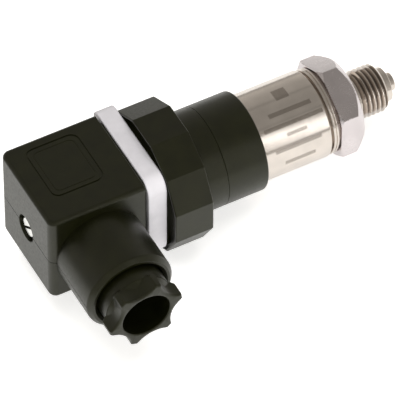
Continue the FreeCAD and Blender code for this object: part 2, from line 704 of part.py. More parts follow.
def cut_label_frame(body):
    """A shallow line round the blank field on the housing's top."""
    frame = new_sketch(body, "XY_Plane", HOUSING_TOP)
    corner_share = f"{2 - math.sqrt(2):.6f}"    # keeps the line's width round the cut corners
    for inset in ("0", "dim.frame_line"):
        across, up = f"dim.frame_width / 2 - {inset}", f"dim.frame_length / 2 - {inset}"
        cut = f"dim.frame_corner - {inset} * {corner_share}"
        corners = []
        for side, rise, steep in (("-", "-", True), ("", "-", False),
                                  ("", "", True), ("-", "", False)):
            at_side = (f"{side}({across}) - dim.frame_setback",
                       f"dim.frame_offset + {rise}({up} - ({cut}))")
            at_end = (f"{side}({across} - ({cut})) - dim.frame_setback",
                      f"dim.frame_offset + {rise}({up})")
            corners += [at_side, at_end] if steep else [at_end, at_side]
        draw_outline(frame, corners)
    extrude(body, "Pocket", frame, "dim.frame_depth")


def make_contact_insert():
    """Block that carries the sockets inside the housing."""
    body = new_body("contact_insert")
    sides = new_sketch(body, "YZ_Plane", INSERT_BACK)
    draw_rectangle(sides, f"2 * ({INNER_HALF_WIDTH} - dim.insert_clearance)",
                   f"2 * ({INNER_HALF_HEIGHT} - dim.insert_clearance)")
    extrude(body, "Pad", sides, "dim.insert_length")
    dress(body, "Chamfer", "Size", "dim.insert_corner", lambda edge: runs_along(edge, 0))
    hole = new_sketch(body, "YZ_Plane", INSERT_BACK)
    draw_circle(hole, SCREW_HOLE)
    extrude(body, "Pocket", hole, "dim.insert_length", reverse=True)
    cut_blade_slots(body, "dim.socket_width", "dim.socket_thickness", INSERT_BACK, INSERT_FRONT)
    return body


def make_socket(angle, number):
    """Brass socket with a slot for its blade and a tapped hole for its clamping screw."""
    body = new_body(f"socket_{number}")
    sides = new_sketch(body, "YZ_Plane", INSERT_BACK)
    draw_rectangle(sides, "dim.socket_thickness", "dim.socket_width")
    extrude(body, "Pad", sides, f"({SOCKET_FRONT}) - ({INSERT_BACK})")
    slot = new_sketch(body, "YZ_Plane", SOCKET_FRONT)
    draw_rectangle(slot, "dim.pin_thickness + 2 * dim.blade_clearance",
                   "dim.pin_width + 2 * dim.blade_clearance")
    slot_depth = f"({SOCKET_FRONT}) - ({PIN_TIP}) + dim.blade_end_gap"
    extrude(body, "Pocket", slot, slot_depth)
    hole = new_sketch(body, "YZ_Plane", INSERT_BACK)
    draw_circle(hole, "dim.terminal_screw_radius")
    extrude(body, "Pocket", hole, TERMINAL_DEPTH, reverse=True)
    place(body, around_axis(angle, "dim.pin_offset"), (1, 0, 0), angle)
    return body


def make_terminal_screw(angle, number):
    """Slotted clamping screw in the back of a socket."""
    head_back = f"{INSERT_BACK} - dim.terminal_head_height"
    body = turned_body(f"terminal_screw_{number}", [
        (head_back, "0"), (head_back, "dim.terminal_head_radius"),
        (INSERT_BACK, "dim.terminal_head_radius"), (INSERT_BACK, "dim.terminal_screw_radius"),
        (f"{INSERT_BACK} + {TERMINAL_DEPTH}", "dim.terminal_screw_radius"),
        (f"{INSERT_BACK} + {TERMINAL_DEPTH}", "0")])
    slot = new_sketch(body, "YZ_Plane", head_back)
    draw_rectangle(slot, "3 * dim.terminal_head_radius", "dim.terminal_slot_width")
    extrude(body, "Pocket", slot, "dim.terminal_head_height / 2", reverse=True)
    place(body, around_axis(angle, "dim.pin_offset"), (1, 0, 0), angle)
    return body


def make_centre_screw():
    """Captive screw through the plug into the base's bush, and the washer under its head."""
    edge = "dim.screw_head_radius - dim.screw_head_round"
    body = turned_body("centre_screw", [
        (HEAD_BACK, "0"), (HEAD_BACK, edge),
        (f"{HEAD_BACK} + dim.screw_head_round", "dim.screw_head_radius"),
        (HEAD_FRONT, "dim.screw_head_radius"), (HEAD_FRONT, "dim.screw_radius"),
        (f"{SCREW_TIP} - dim.screw_point", "dim.screw_radius"),
        (SCREW_TIP, "dim.screw_radius - dim.screw_point"), (SCREW_TIP, "0")])
    slot = new_sketch(body, "YZ_Plane", HEAD_BACK)
    draw_rectangle(slot, "3 * dim.screw_head_radius", "dim.screw_slot_width")
    extrude(body, "Pocket", slot, "dim.screw_slot_depth", reverse=True)
    place(body, ("0", "0", "0"), (1, 0, 0), -SCREW_SLOT_TURN)
    washer = turned_body("screw_washer", ring_corners(
        f"{SCREW_SEAT} - dim.washer_thickness", SCREW_SEAT, SCREW_HOLE,
        "dim.screw_head_radius"))
    return [body, washer]


def make_cable_gland():
    """Grommet, thrust washer and compression nut, each turned about the cable entry's axis."""
    inner, outer = "dim.grommet_bore", "dim.grommet_radius"
    cone = "dim.grommet_cone"
    grommet = turned_body("cable_grommet", [
        (GROMMET_INNER, f"{inner} + {cone}"), (f"{GROMMET_INNER} + {cone}", inner),
        (f"{WASHER_INNER} - {cone}", inner), (WASHER_INNER, f"{inner} + {cone}"),
        (WASHER_INNER, outer), (f"{GROMMET_INNER} + {cone}", outer),
        (GROMMET_INNER, f"{outer} - {cone}")])
    washer = turned_body("thrust_washer", ring_corners(
        WASHER_INNER, WASHER_OUTER, "dim.thrust_washer_bore", outer))
    for piece in (grommet, washer):
        place(piece, (BOSS_AXIS, "0", "0"), (0, 0, 1), -90.0)
    return [grommet, washer, make_gland_nut()]


def make_gland_nut():
    """Compression nut: a head of six hollow flutes, a threaded skirt and a wide bore."""
    body = new_body("gland_nut")
    head = new_sketch(body, "YZ_Plane")
    draw_circle(head, "dim.nut_tip_radius")
    extrude(body, "Pad", head, "dim.nut_head_length")
    flute = new_sketch(body, "YZ_Plane")
    draw_circle(flute, "dim.nut_flute_radius", "dim.nut_waist_radius + dim.nut_flute_radius")
    cut = extrude(body, "Pocket", flute, "dim.nut_head_length", reverse=True)
    flutes = body.newObject("PartDesign::PolarPattern", "gland_nut_flutes")
    flutes.Originals = [cut]
    flutes.Axis = (flute, ["N_Axis"])
    flutes.Angle = 360
    flutes.Occurrences = FLUTES
    body.Tip = flutes
    core = "dim.nut_waist_radius - dim.nut_core_relief"
    turn_feature(body, "Revolution", [
        ("-dim.nut_thread_length", "0"), ("dim.nut_head_length / 2", "0"),
        ("dim.nut_head_length / 2", core), ("0", core), ("0", "dim.nut_thread_radius"),
        ("-dim.nut_thread_length", "dim.nut_thread_radius")])
    tip, slope = "dim.nut_tip_radius", "dim.nut_head_chamfer"
    inner, outer = "-dim.nut_thread_length - dim.overcut", "dim.nut_head_length + dim.overcut"
    turn_feature(body, "Groove", [
        ("dim.nut_head_length", f"{tip} - {slope}"), (f"dim.nut_head_length - {slope}", tip),
        (f"dim.nut_head_length - {slope}", f"{tip} + dim.overcut"),
        (outer, f"{tip} + dim.overcut"), (outer, f"{tip} - {slope}")])
    turn_feature(body, "Groove", [
        (inner, "0"), (outer, "0"), (outer, "dim.nut_bore_radius"),
        (inner, "dim.nut_bore_radius")])
    half_flute = 180.0 / FLUTES
    turn = FreeCAD.Rotation(FreeCAD.Vector(0, 0, 1), -90.0)
    spin = FreeCAD.Rotation(FreeCAD.Vector(1, 0, 0), NUT_TURN - half_flute)
    body.Placement = FreeCAD.Placement(FreeCAD.Vector(0, 0, 0), turn.multiply(spin))
    body.setExpression("Placement.Base.x", BOSS_AXIS)
    body.setExpression("Placement.Base.y", f"-({NUT_FACE})")
    return body


def make_all():
    """Every sub-part, in the order in which the instrument goes together."""
    pieces = [make_process_connection()]
    pieces += make_measuring_cell()
    pieces.append(make_case())
    pieces += make_end_ring()
    pieces.append(make_plug_base())
    pieces += [make_pin(angle, label) for angle, label in BLADES.items()]
    pieces.append(make_screw_bush())
    pieces.append(make_terminal_board())
    pieces += make_main_board()
    pieces.append(make_gasket())
    pieces.append(make_housing())
    pieces.append(make_contact_insert())
    for number, angle in enumerate(BLADES, start=1):
        pieces.append(make_socket(angle, number))
        pieces.append(make_terminal_screw(angle, number))
    pieces += make_centre_screw()
    pieces += make_cable_gland()
    return pieces


pieces = make_all()
doc.recompute()

for item in doc.Objects:
    if "Invalid" in item.State or "Error" in item.State:
        raise RuntimeError(f"{item.Label} failed: {item.State}")
for piece in pieces:
    if piece.Shape.isNull() or not piece.Shape.isValid():
        raise RuntimeError(f"{piece.Label} has no valid shape")

os.makedirs("parts", exist_ok=True)
for piece in pieces:
    piece.Shape.exportStep(f"parts/{piece.Label}.step")
    print(f"{piece.Label}: {piece.Shape.Volume:.1f} mm3")
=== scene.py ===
import json
import math

import bmesh
import bpy
from mathutils import Matrix, Vector


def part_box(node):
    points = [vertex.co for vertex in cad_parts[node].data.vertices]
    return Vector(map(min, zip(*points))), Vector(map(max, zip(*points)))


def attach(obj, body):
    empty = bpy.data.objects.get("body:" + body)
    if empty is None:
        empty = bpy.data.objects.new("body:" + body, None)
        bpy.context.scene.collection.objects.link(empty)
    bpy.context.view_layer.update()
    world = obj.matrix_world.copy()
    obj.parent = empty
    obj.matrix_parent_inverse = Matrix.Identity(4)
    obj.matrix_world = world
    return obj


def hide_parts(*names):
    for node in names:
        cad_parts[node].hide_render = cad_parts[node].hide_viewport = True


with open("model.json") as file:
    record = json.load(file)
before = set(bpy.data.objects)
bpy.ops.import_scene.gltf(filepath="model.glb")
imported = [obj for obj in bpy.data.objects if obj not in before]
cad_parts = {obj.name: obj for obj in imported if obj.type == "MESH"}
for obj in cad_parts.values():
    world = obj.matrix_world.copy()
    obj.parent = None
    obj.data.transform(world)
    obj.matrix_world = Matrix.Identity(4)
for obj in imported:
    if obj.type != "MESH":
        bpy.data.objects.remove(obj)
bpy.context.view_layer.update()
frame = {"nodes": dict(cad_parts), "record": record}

MM = 0.001

# Camera: where its axis meets the z = 0 plane, its distance from there, its turn in degrees
# and its lens in millimetres
CAMERA_TARGET = Vector((-50.1, -12.5, 0.0)) * MM
CAMERA_DISTANCE = 1332.7 * MM
CAMERA_AZIMUTH = -28.582
CAMERA_ELEVATION = 49.538
CAMERA_ROLL = 0.388
CAMERA_LENS = 470.7

# Stations along the instrument's axis in millimetres, as the CAD model has them
STUD_END = 9.0
HEX_FRONT, HEX_BACK = -1.3, -8.4
CASE_FRONT, CASE_BACK = -11.15, -37.9
RING_FRONT, RING_BACK = -30.5, -42.15
NECK_FRONT, FOOT_FRONT = -38.35, -48.05
FLANGE_FRONT, FLANGE_BACK = -49.35, -60.25
PLATFORM_BACK = -64.45
HOUSING_BACK = -93.5
ENTRY_X = -79.85

# Housing and gasket meet at -66.0 in the CAD model, and a narrow gap shows between them here
HOUSING_RIM, GASKET_BACK = -66.4, -65.6

# Radii and widths across flats in millimetres, and the turn of the flange in degrees
CASE_RADIUS, CASE_BORE = 12.0, 11.2
RING_RADIUS, FOOT_RADIUS = 13.65, 14.1
HEX_FLATS = 24.0
HEX_REACH = HEX_FLATS / 2 / math.cos(math.pi / 6)
FLANGE_FLATS, FLANGE_TURN = 37.2, 15.0

# The floor touches the flange's lower front edge and the hexagon's lowest corner
FLOOR_UNDER_FLANGE = Vector((FLANGE_FRONT, 0.0, -18.6)) * MM
FLOOR_UNDER_HEXAGON = Vector((-3.5, 0.0, -13.86)) * MM

# Edges that fold by more than this stay sharp, and turned shapes have this many sides
SHARP_ANGLE = math.radians(32)
AROUND = 128


# ---- outlines and meshes, in millimetres -------------------------------------------------

def arc_corner(before, corner, after, radius, steps):
    """The points of a rounded corner, from the side before it to the side after it."""
    here = Vector(corner)
    back, on = (Vector(before) - here).normalized(), (Vector(after) - here).normalized()
    half = back.angle(on) / 2
    centre = here + (back + on).normalized() * radius / math.sin(half)
    start = here + back * radius / math.tan(half) - centre
    end = here + on * radius / math.tan(half) - centre
    sweep = math.pi - 2 * half
    points = []
    for step in range(steps + 1):
        share = step / steps
        weights = (math.sin((1 - share) * sweep), math.sin(share * sweep))
        points.append(centre + (start * weights[0] + end * weights[1]) / math.sin(sweep))
    return points


def rounded(corners, steps=4):
    """A closed outline through (a, b, radius) corners. A radius of zero leaves one sharp."""
    points = []
    for index, (a, b, radius) in enumerate(corners):
        if radius:
            before = corners[index - 1][:2]
            after = corners[(index + 1) % len(corners)][:2]
            points += arc_corner(before, (a, b), after, radius, steps)
        else:
            points.append(Vector((a, b)))
    return points


def inset(outline, distance):
    """A counter-clockwise outline moved inwards."""
    moved = []
    for index, here in enumerate(outline):
        before, after = outline[index - 1], outline[(index + 1) % len(outline)]
        first, second = (here - before).normalized(), (after - here).normalized()
        normals = Vector((first.y, -first.x)), Vector((second.y, -second.x))
        miter = (normals[0] + normals[1]) / (1 + normals[0].dot(normals[1]))
        moved.append(here - miter * distance)
    return moved


def divided(outline, longest):
    """The same outline with its long straight runs divided."""
    points = []
    for index, here in enumerate(outline):
        after = outline[(index + 1) % len(outline)]
        parts = max(1, math.ceil((after - here).length / longest))
        points += [here.lerp(after, part / parts) for part in range(parts)]
    return points


def rectangle(low, high, radii):
    """A rounded rectangle, its radii counter-clockwise from the lowest corner."""
    (left, bottom), (right, top) = low, high
    places = ((left, bottom), (right, bottom), (right, top), (left, top))
    return rounded([(*place, radius) for place, radius in zip(places, radii)], steps=6)


def polygon(sides, flats, turn, radius):
    """A regular outline from its width across flats, its turn and its corners' radius."""
    reach = flats / 2 / math.cos(math.pi / sides)
    angles = [math.radians(turn) + math.tau * side / sides for side in range(sides)]
    return rounded([(reach * math.cos(a), reach * math.sin(a), radius) for a in angles])


def across_x(outline, x):
    """An outline of (y, z) points stood across the instrument's axis."""
    return [(x, point[0], point[1]) for point in outline]


def edge_rings(outline, low, high, low_round, high_round, steps=3):
    """Rings of a prism along X whose two end edges are rounded."""
    rings = []
    for step in range(steps + 1):
        turn = math.pi / 2 * step / steps
        rings.append(across_x(inset(outline, low_round * (1 - math.sin(turn))),
                              low + low_round * (1 - math.cos(turn))))
    for step in range(steps + 1):
        turn = math.pi / 2 * step / steps
        rings.append(across_x(inset(outline, high_round * (1 - math.cos(turn))),
                              high - high_round * (1 - math.sin(turn))))
    return rings


def loft(rings, loop=False):
    """Quads between rings of equal length, capped at both ends or joined into a loop."""
    count = len(rings[0])
    points = [point for ring in rings for point in ring]
    faces = []
    for index in range(len(rings) if loop else len(rings) - 1):
        low, high = index * count, (index + 1) % len(rings) * count
        for step in range(count):
            after = (step + 1) % count
            faces.append((low + step, low + after, high + after, high + step))
    if not loop:
        faces.append(tuple(reversed(range(count))))
        faces.append(tuple(range(len(points) - count, len(points))))
    return points, faces


def about_x(along, radius, angle):
    """A point at a distance along the instrument's axis, turning from +Y towards +Z."""
    return along, radius * math.cos(angle), radius * math.sin(angle)


def about_entry(along, radius, angle):
    """A point at a distance out along the cable entry, turning from +X towards +Z."""
    return ENTRY_X + radius * math.cos(angle), -along, radius * math.sin(angle)


def lathe(profile, axis=about_x, loop=True, count=AROUND):
    """A turned shape from an outline of (along, radius) points, a ring or capped at its ends."""
    angles = [math.tau * step / count for step in range(count)]
    return loft([[axis(along, radius, angle) for angle in angles]
                 for along, radius in profile], loop)


def thread(start, end, pitch, crest, root, chamfer, axis=about_x, per_turn=18, count=AROUND):
    """A right-hand thread as one helical sheet, each point carried along by its own angle.

    Its root and its crest are each flat over a ninth of the pitch.
    """
    rows = math.ceil((end - start) / pitch) + 1
    first = start - pitch
    points, faces = [], []
    for row in range(rows * per_turn + 1):
        for step in range(count):
            along = first + pitch * (row / per_turn + step / count)
            share = abs(2 * (row / per_turn % 1) - 1)
            radius = root + (crest - root) * min(1.0, max(0.0, (9 * share - 1) / 7))
            place = min(max(along, start), end)
            limit = min(root + place - start, crest - chamfer + end - place)
            points.append(axis(place, min(radius, limit), math.tau * step / count))
    for row in range(rows * per_turn):
        for step in range(count):
            low, high = row * count + step, (row + 1) * count + step
            if step + 1 < count:
                faces.append((low, low + 1, high + 1, high))
            elif row + per_turn + 1 <= rows * per_turn:
                across = (row + per_turn) * count
                faces.append((low, across, across + count, high))
    return points, faces


def make_object(name, shape):
    """A mesh object from a shape in millimetres."""
    points, faces = shape
    mesh = bpy.data.meshes.new(name)
    mesh.from_pydata([Vector(point) * MM for point in points], [], faces)
    work = bmesh.new()
    work.from_mesh(mesh)
    bmesh.ops.remove_doubles(work, verts=work.verts, dist=1e-4 * MM)
    bmesh.ops.recalc_face_normals(work, faces=work.faces)
    work.to_mesh(mesh)
    work.free()
    made = bpy.data.objects.new(name, mesh)
    bpy.context.scene.collection.objects.link(made)
    return made


def make_piece(name, shape, body, material, nodes):
    """A mesh object that rides a body and stands for CAD nodes."""
    piece = make_object(name, shape)
    piece.data.materials.append(material)
    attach(piece, body)
    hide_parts(*nodes)
    return piece


def bake_modifiers(piece):
    """Replaces the piece's mesh by what its modifiers make of it."""
    bpy.context.view_layer.update()
    graph = bpy.context.evaluated_depsgraph_get()
    piece.data = bpy.data.meshes.new_from_object(piece.evaluated_get(graph))
    piece.modifiers.clear()


def carve(piece, shapes):
    """Cuts shapes away from a piece."""
    for number, shape in enumerate(shapes):
        cutter = make_object(f"{piece.name}_cutter_{number}", shape)
        modifier = piece.modifiers.new("carve", "BOOLEAN")
        modifier.operation = "DIFFERENCE"
        modifier.solver = "EXACT"
        modifier.object = cutter
        bake_modifiers(piece)
        bpy.data.objects.remove(cutter)


def finish_shading(piece):
    """Smooth faces with sharp folds kept, and normals that keep flat faces flat."""
    piece.data.polygons.foreach_set("use_smooth", [True] * len(piece.data.polygons))
    piece.data.set_sharp_from_angle(angle=SHARP_ANGLE)
    weighted = piece.modifiers.new("normals", "WEIGHTED_NORMAL")
    weighted.keep_sharp = True
    bake_modifiers(piece)


# ---- materials -----------------------------------------------------------------------------

def add(tree, kind, inputs=(), **settings):
    """A shader node with its settings, values and links."""
    made = tree.nodes.new(f"ShaderNode{kind}")
    for key, value in settings.items():
        setattr(made, key, value)
    for key, value in dict(inputs).items():
        if isinstance(value, bpy.types.NodeSocket):
            tree.links.new(value, made.inputs[key])
        else:
            made.inputs[key].default_value = value
    return made


def math_node(tree, operation, *values):
    """The result of a Math node."""
    return add(tree, "Math", dict(enumerate(values)), operation=operation).outputs[0]


def noise(tree, coords, scale, detail=3.0, stretch=None):
    """Noise of a given number of grains per metre, stretched along an axis if asked."""
    if stretch:
        coords = add(tree, "VectorMath", {0: coords, 1: stretch}, operation="MULTIPLY").outputs[0]
    texture = add(tree, "TexNoise", {"Vector": coords, "Scale": scale, "Detail": detail})
    return texture.outputs["Fac"]


def remap(tree, value, low, high, start=0.3, end=0.7):
    """A value between two limits, carried over to the range from low to high."""
    return add(tree, "MapRange", {"Value": value, "From Min": start, "From Max": end,
                                  "To Min": low, "To Max": high}).outputs["Result"]


def mix(tree, factor, first, second):
    """A colour between two others."""
    return add(tree, "Mix", {0: factor, 6: first, 7: second}, data_type="RGBA").outputs[2]


def bump(tree, height, strength, distance, normal=None):
    """A normal disturbed by a height, on top of another bump if given."""
    inputs = {"Height": height, "Strength": strength, "Distance": distance}
    if normal:
        inputs["Normal"] = normal
    return add(tree, "Bump", inputs).outputs["Normal"]


def edge_mask(tree, radius, amount):
    """How close a point lies to an edge, from the turn of a bevelled normal."""
    soft = add(tree, "Bevel", {"Radius": radius}, samples=4).outputs[0]
    plain = add(tree, "NewGeometry").outputs["Normal"]
    same = add(tree, "VectorMath", {0: soft, 1: plain}, operation="DOT_PRODUCT").outputs["Value"]
    return remap(tree, same, amount, 0.0, 0.90, 0.995)


def shade(color, factor):
    """An opaque colour a number of times as bright."""
    return tuple(min(1.0, channel * factor) for channel in color) + (1.0,)


def start_material(name, color, **sockets):
    """A material with its shader, ready for links, and the object's own coordinates."""
    material = bpy.data.materials.new(name)
    material.use_nodes = True
    tree = material.node_tree
    shader = tree.nodes["Principled BSDF"]
    shader.inputs["Base Color"].default_value = (*color, 1.0)
    for socket, value in sockets.items():
        shader.inputs[socket.replace("_", " ")].default_value = value
    coords = add(tree, "TexCoord").outputs["Object"]
    return material, tree, shader, coords


def link(tree, shader, **sockets):
    """Links outputs to the shader's sockets, named with _ for a space."""
    for socket, value in sockets.items():
        tree.links.new(value, shader.inputs[socket.replace("_", " ")])


def moulded_plastic(name, color, rough=(0.30, 0.41)):
    """Satin moulded plastic: fine grain, a little mottle, warm gloss and lighter edges."""
    material, tree, shader, coords = start_material(
        name, color, IOR=1.46, Specular_Tint=(1.0, 1.0, 0.86, 1.0))
    mottle = noise(tree, coords, 260.0, 4.0)
    base = mix(tree, remap(tree, mottle, 0.0, 1.0), shade(color, 0.75), shade(color, 1.3))
    worn = math_node(tree, "MULTIPLY", edge_mask(tree, 0.25 * MM, 0.8),
                     remap(tree, noise(tree, coords, 900.0), 0.2, 1.0))
    base = mix(tree, worn, base, shade(color, 2.6))
    relief = bump(tree, noise(tree, coords, 7000.0, 2.0), 0.12, 0.02 * MM)
    relief = bump(tree, mottle, 0.15, 0.06 * MM, relief)
    link(tree, shader, Base_Color=base, Normal=relief,
         Roughness=remap(tree, noise(tree, coords, 1500.0), *rough))
    return material


def metal(name, color, rough=None, lay=(1.0, 0.03, 0.03), scale=9000.0, depth=0.006):
    """Machined metal: tool marks along one lay, cloudy polish and brighter edges.

    Without a range for it, the roughness is left to the caller.
    """
    material, tree, shader, coords = start_material(name, color, Metallic=1.0)
    marks = noise(tree, coords, scale, 2.0, lay)
    cloud = noise(tree, coords, 180.0)
    base = mix(tree, remap(tree, cloud, 0.0, 1.0), shade(color, 0.93), shade(color, 1.05))
    base = mix(tree, edge_mask(tree, 0.12 * MM, 0.6), base, shade(color, 1.25))
    link(tree, shader, Base_Color=base, Normal=bump(tree, marks, 0.25, depth * MM))
    if rough:
        link(tree, shader, Roughness=math_node(tree, "ADD", remap(tree, marks, *rough),
                                               remap(tree, cloud, -0.02, 0.03)))
    return material, tree, shader, coords, base


STEEL = (0.70, 0.64, 0.59)
ETCHED_STEEL = (0.20, 0.165, 0.135, 1.0)
CASE_ROUGHNESS, ETCHED_ROUGHNESS = 0.16, 0.55
# The colour of the painted shade in the thread's valleys
THREAD_PAINTED_SHADE = (0.27, 0.23, 0.20, 1.0)

# The thread's painted shade darkens it fully up to the first distance from the axis, and not at
# all from the second on
THREAD_FULL_SHADE, THREAD_NO_SHADE = 5.65 * MM, 6.4 * MM

# Plain hatched bars etched on the case, the first nearly square: middle and half-width about
# the axis in degrees, then middle and half-length along it in millimetres
ETCHED_BARS = ((92.3, 8.5, -20.0, 1.9), (67.5, 2.9, -19.9, 6.1), (51.5, 2.7, -20.3, 8.5),
               (38.8, 2.2, -20.2, 2.9), (21.6, 2.4, -20.6, 6.7), (1.0, 3.0, -20.5, 4.4))
HATCH_HALF_PITCH, HATCH_HALF_STROKE = 0.2 * MM, 0.11 * MM


def etched_case():
    """Finely turned case with plain hatched bars where the maker's marking would be."""
    material, tree, shader, coords, base = metal(
        "stainless_case", STEEL, scale=14000.0, depth=0.001)
    x, y, z = add(tree, "SeparateXYZ", {0: coords}).outputs[:3]
    back = math_node(tree, "MULTIPLY", y, -1.0)
    turn = math_node(tree, "DEGREES", math_node(tree, "ARCTAN2", z, back))
    etched = None
    for angle, half_width, middle, half_length in ETCHED_BARS:
        bar = math_node(tree, "MULTIPLY", math_node(tree, "COMPARE", turn, angle, half_width),
                        math_node(tree, "COMPARE", x, middle * MM, half_length * MM))
        etched = math_node(tree, "MAXIMUM", etched, bar) if etched else bar
    slanted = math_node(tree, "MULTIPLY_ADD", turn, math.radians(CASE_RADIUS * MM), x)
    stroke = math_node(tree, "PINGPONG", slanted, HATCH_HALF_PITCH)
    etched = math_node(tree, "MULTIPLY", etched,
                       math_node(tree, "LESS_THAN", stroke, HATCH_HALF_STROKE))
    link(tree, shader, Base_Color=mix(tree, etched, base, ETCHED_STEEL),
         Roughness=remap(tree, etched, CASE_ROUGHNESS, ETCHED_ROUGHNESS, 0.0, 1.0))
    return material


def threaded_steel():
    """Turned steel with painted shade that darkens its thread towards the root, about the
    instrument's axis.
    """
    material, tree, shader, coords, base = metal("stainless_thread", STEEL, (0.10, 0.18))
    y, z = add(tree, "SeparateXYZ", {0: coords}).outputs[1:3]
    square = math_node(tree, "MULTIPLY_ADD", y, y, math_node(tree, "MULTIPLY", z, z))
    reach = math_node(tree, "SQRT", square)
    # Painted shade: the colour darkens from the crest towards the thread's root
    depth = remap(tree, reach, 1.0, 0.0, THREAD_FULL_SHADE, THREAD_NO_SHADE)
    link(tree, shader, Base_Color=mix(tree, depth, base, THREAD_PAINTED_SHADE))
    return material


def soft_rubber(name, color, rough):
    """Dull rubber with a fine grain, a faint mottle and a slight sheen."""
    material, tree, shader, coords = start_material(name, color, IOR=1.42, Sheen_Weight=0.08)
    mottle = noise(tree, coords, 320.0, 4.0)
    base = mix(tree, remap(tree, mottle, 0.0, 1.0), shade(color, 0.94), shade(color, 1.05))
    relief = bump(tree, noise(tree, coords, 5000.0), 0.2, 0.03 * MM)
    link(tree, shader, Base_Color=base, Normal=bump(tree, mottle, 0.25, 0.15 * MM, relief),
         Roughness=remap(tree, noise(tree, coords, 1200.0), *rough))
    return material


MATERIALS = {
    "stainless_turned": metal("stainless_turned", (0.68, 0.62, 0.57), (0.13, 0.22))[0],
    "stainless_thread": threaded_steel(),
    "stainless_milled": metal("stainless_milled", (0.66, 0.61, 0.62), (0.22, 0.27),
                              lay=(0.25, 1.0, 1.0), scale=2600.0, depth=0.001)[0],
    "stainless_case": etched_case(),
    "ceramic": moulded_plastic("ceramic", (0.82, 0.80, 0.76), (0.3, 0.4)),
    "black_rubber": soft_rubber("black_rubber", (0.012, 0.012, 0.012), (0.55, 0.7)),
    "black_plastic": moulded_plastic("black_plastic", (0.0044, 0.0047, 0.0010)),
    "grey_plastic": moulded_plastic("grey_plastic", (0.10, 0.10, 0.10)),
    "grey_gasket": soft_rubber("grey_gasket", (0.60, 0.585, 0.61), (0.55, 0.7)),
    "tinned_brass": metal("tinned_brass", (0.72, 0.71, 0.68), (0.22, 0.34), (0.1, 1, 1))[0],
    "brass": metal("brass", (0.74, 0.55, 0.26), (0.22, 0.34))[0],
    "circuit_board": moulded_plastic("circuit_board", (0.02, 0.14, 0.06), (0.28, 0.4)),
    "chip_plastic": moulded_plastic("chip_plastic", (0.02, 0.02, 0.02), (0.5, 0.6)),
    "zinc_plated_steel": metal("zinc_plated_steel", (0.80, 0.80, 0.78), (0.16, 0.26))[0],
}


# ---- pieces --------------------------------------------------------------------------------

def build(name, shape, body, slot, nodes, material=None, cuts=()):
    """A finished piece, in its slot's material unless another is named."""
    made = make_piece(name, shape, body, MATERIALS[material or slot], nodes)
    carve(made, cuts)
    finish_shading(made)
    return made


def make_connection():
    """Stud with its helical thread, hexagon with turned-down corners, and neck beads."""
    turned = rounded([
        (4.0, 0.0, 0), (4.0, 1.25, 0), (13.0, 1.25, 0.15), (13.0, 2.5, 0.3), (11.0, 2.5, 0.12),
        (11.0, 4.75, 0.35), (STUD_END, 4.75, 0.12), (STUD_END, 5.55, 0), (1.6, 5.5, 0.3),
        (0.0, 5.58, 0.2), (0.0, 8.9, 0.25), (HEX_FRONT, 8.9, 0.1), (HEX_FRONT, 10.6, 0),
        (HEX_BACK, 10.8, 0), (-8.75, 10.8, 0), (-8.75, 11.75, 0.28), (-9.45, 11.75, 0.2),
        (-9.45, 11.45, 0), (-9.6, 11.45, 0), (-9.6, 11.75, 0.2), (-10.35, 11.75, 0.28),
        (-10.35, 9.9, 0), (-11.3, 9.9, 0), (-11.3, 11.2, 0), (-13.0, 11.2, 0),
        (-13.0, 0.0, 0)])
    build("connection_turned", lathe(turned, loop=False), "transmitter", "stainless_turned",
          ["process_connection"])
    helix = thread(start=1.6, end=STUD_END, pitch=1.337, crest=6.5785, root=5.6, chamfer=0.75)
    build("connection_thread", helix, "transmitter", "stainless_turned",
          ["process_connection"], "stainless_thread")

    # Each end of the hexagon is turned down outside a radius, to a depth at its corners
    outline = divided(polygon(6, HEX_FLATS, 90.0, 0.35), 0.6)
    rings = []
    for face, inward, start, depth in ((HEX_BACK, 1, 12.8, 0.6), (HEX_FRONT, -1, 11.6, 2.2)):
        cut = [inward * depth * max(0.0, point.length - start) / (HEX_REACH - start)
               for point in outline]
        turned = [point.normalized() * min(point.length, start) for point in outline]
        side = [across_x(inset(turned, 0.12), face),
                across_x(turned, face + inward * 0.08),
                [(face + x + inward * 0.14, *(point * 0.996)) for x, point in zip(cut, outline)],
                [(face + x + inward * 0.26, *point) for x, point in zip(cut, outline)]]
        rings += side if inward > 0 else reversed(side)
    build("connection_hexagon", loft(rings), "transmitter", "stainless_turned",
          ["process_connection"], "stainless_milled")


def make_case():
    """Thin case tube, and the end ring with a seat for the base behind it."""
    tube = rounded([(CASE_FRONT, CASE_BORE, 0.1), (CASE_FRONT, CASE_RADIUS, 0.22),
                    (CASE_BACK, CASE_RADIUS, 0.1), (CASE_BACK, CASE_BORE, 0.1)])
    build("case_tube", lathe(tube, count=192), "transmitter", "stainless_case", ["steel_case"])
    ring = rounded([
        (RING_FRONT, 12.05, 0), (RING_FRONT, RING_RADIUS, 0.55), (RING_BACK, RING_RADIUS, 0.22),
        (RING_BACK, 12.75, 0), (-38.3, 12.75, 0), (-38.3, 12.05, 0)])
    build("end_ring_shell", lathe(ring), "transmitter", "black_plastic", ["end_ring"])


# The gasket's outline and its hole, which the housing's lip shares, as (y, z) points
GASKET_OUTLINE = rectangle((-14.0, -13.9), (16.3, 14.6), (4.5, 2.2, 2.2, 4.5))
GASKET_HOLE = rectangle((-10.5, -10.5), (10.5, 10.5), (2.5,) * 4)

# The moat in the back of the flange, and the seat in it, which stays inside the flange
MOAT_FLATS, MOAT_DEPTH = 36.2, 1.1
SEAT_REACH, SEAT_DEPTH = 18.0, 1.5

# The platform's foot goes into the flange, and its hole fits the screw's bush
PLATFORM_FRONT = FLANGE_BACK + 0.5
BUSH_RADIUS = 2.6


